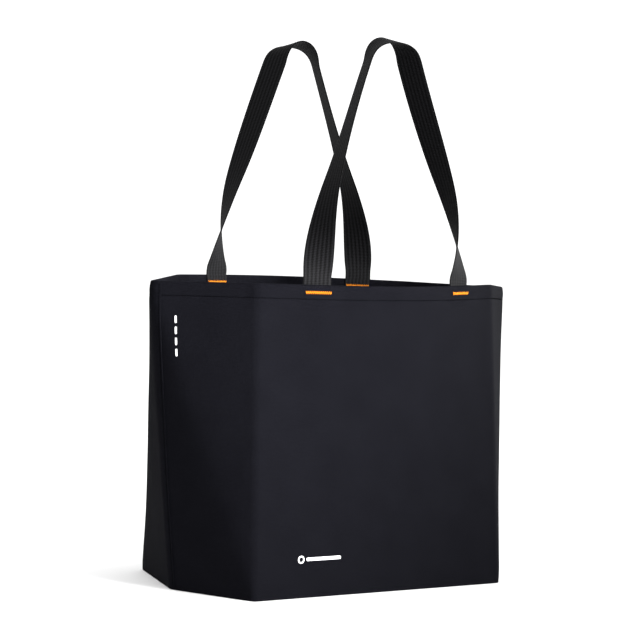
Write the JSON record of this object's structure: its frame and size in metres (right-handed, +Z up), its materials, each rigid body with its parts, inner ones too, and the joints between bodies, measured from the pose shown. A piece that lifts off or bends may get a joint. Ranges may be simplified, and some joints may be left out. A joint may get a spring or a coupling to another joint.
{
  "type": "foldable tote bag",
  "caption": "Open-topped foldable tote bag with stiffened straight walls, outward-folding side gussets, a swing-up base board and webbing loop handles.",
  "frame": {"origin": "centre of the base on the surface the bag stands on", "axes": "+X along the front wall, +Y from the front wall to the back wall, +Z up"},
  "size_m": [0.536, 0.2688, 0.715],
  "materials": {
    "outer_cloth": "fine matte woven polyester, coated inside",
    "lining_cloth": "plain woven lining, slightly shiny",
    "stiffener": "pressed polyethylene board",
    "webbing": "ribbed polypropylene webbing",
    "bartack_thread": "bright bonded thread",
    "hem_thread": "black bonded thread",
    "print_ink": "screen-printed ink"
  },
  "bodies": {
    "back_wall": {"back_shell": "outer_cloth", "back_board": "stiffener", "back_lining": "lining_cloth", "back_hem_stitching": "hem_thread", "back_strap_end_left": "webbing", "back_strap_end_right": "webbing", "back_bartack_left": "bartack_thread", "back_bartack_right": "bartack_thread", "base_shell": "outer_cloth", "base_lining": "lining_cloth"},
    "side_left_back": {"left_back_shell": "outer_cloth", "left_back_board": "stiffener", "left_back_lining": "lining_cloth", "left_back_hem_stitching": "hem_thread"},
    "side_left_front": {"left_front_shell": "outer_cloth", "left_front_board": "stiffener", "left_front_lining": "lining_cloth", "left_front_hem_stitching": "hem_thread", "left_seam_strip": "outer_cloth", "side_print": "print_ink"},
    "front_wall": {"front_shell": "outer_cloth", "front_board": "stiffener", "front_lining": "lining_cloth", "front_hem_stitching": "hem_thread", "front_strap_end_left": "webbing", "front_strap_end_right": "webbing", "front_bartack_left": "bartack_thread", "front_bartack_right": "bartack_thread", "front_print": "print_ink"},
    "side_right_front": {"right_front_shell": "outer_cloth", "right_front_board": "stiffener", "right_front_lining": "lining_cloth", "right_front_hem_stitching": "hem_thread"},
    "side_right_back": {"right_back_shell": "outer_cloth", "right_back_board": "stiffener", "right_back_lining": "lining_cloth", "right_back_hem_stitching": "hem_thread", "right_seam_strip": "outer_cloth"},
    "base_insert": {"base_board": "stiffener", "base_board_cover": "lining_cloth"},
    "front_carry_handle": {"front_handle": "webbing"},
    "back_carry_handle": {"back_handle": "webbing"}
  },
  "joints": [
    {"name": "fold_back_left", "type": "hinge", "parent": "back_wall", "child": "side_left_back", "pos_m": [-0.194, 0.117, 0.1975], "axis": [0, 0, -1], "range_deg": [0, 46.3]},
    {"name": "fold_left_middle", "type": "hinge", "parent": "side_left_back", "child": "side_left_front", "pos_m": [-0.26421, 0, 0.1975], "axis": [0, 0, 1], "range_deg": [0, 92.7]},
    {"name": "fold_front_left", "type": "hinge", "parent": "side_left_front", "child": "front_wall", "pos_m": [-0.194, -0.117, 0.1975], "axis": [0, 0, -1], "range_deg": [0, 46.4]},
    {"name": "fold_front_right", "type": "hinge", "parent": "front_wall", "child": "side_right_front", "pos_m": [0.194, -0.117, 0.1975], "axis": [0, 0, -1], "range_deg": [0, 46.4]},
    {"name": "fold_right_middle", "type": "hinge", "parent": "side_right_front", "child": "side_right_back", "pos_m": [0.26421, 0, 0.1975], "axis": [0, 0, 1], "range_deg": [0, 92.7]},
    {"name": "base_board_fold", "type": "hinge", "parent": "back_wall", "child": "base_insert", "pos_m": [0, 0.1098, 0.0042], "axis": [-1, 0, 0], "range_deg": [0, 90]},
    {"name": "front_handle_swing", "type": "hinge", "parent": "front_wall", "child": "front_carry_handle", "pos_m": [0, -0.1154, 0.401], "axis": [1, 0, 0], "range_deg": [0, 150]},
    {"name": "back_handle_swing", "type": "hinge", "parent": "back_wall", "child": "back_carry_handle", "pos_m": [0, 0.1154, 0.401], "axis": [-1, 0, 0], "range_deg": [0, 150]}
  ],
  "couplings": [
    {"joint": "fold_left_middle", "follows": "fold_back_left", "ratio": 2},
    {"joint": "fold_front_left", "follows": "fold_back_left", "ratio": 1},
    {"joint": "fold_front_right", "follows": "fold_back_left", "ratio": 1},
    {"joint": "fold_right_middle", "follows": "fold_back_left", "ratio": 2},
    {"joint": "base_board_fold", "follows": "fold_back_left", "ratio": 1.9341}
  ]
}
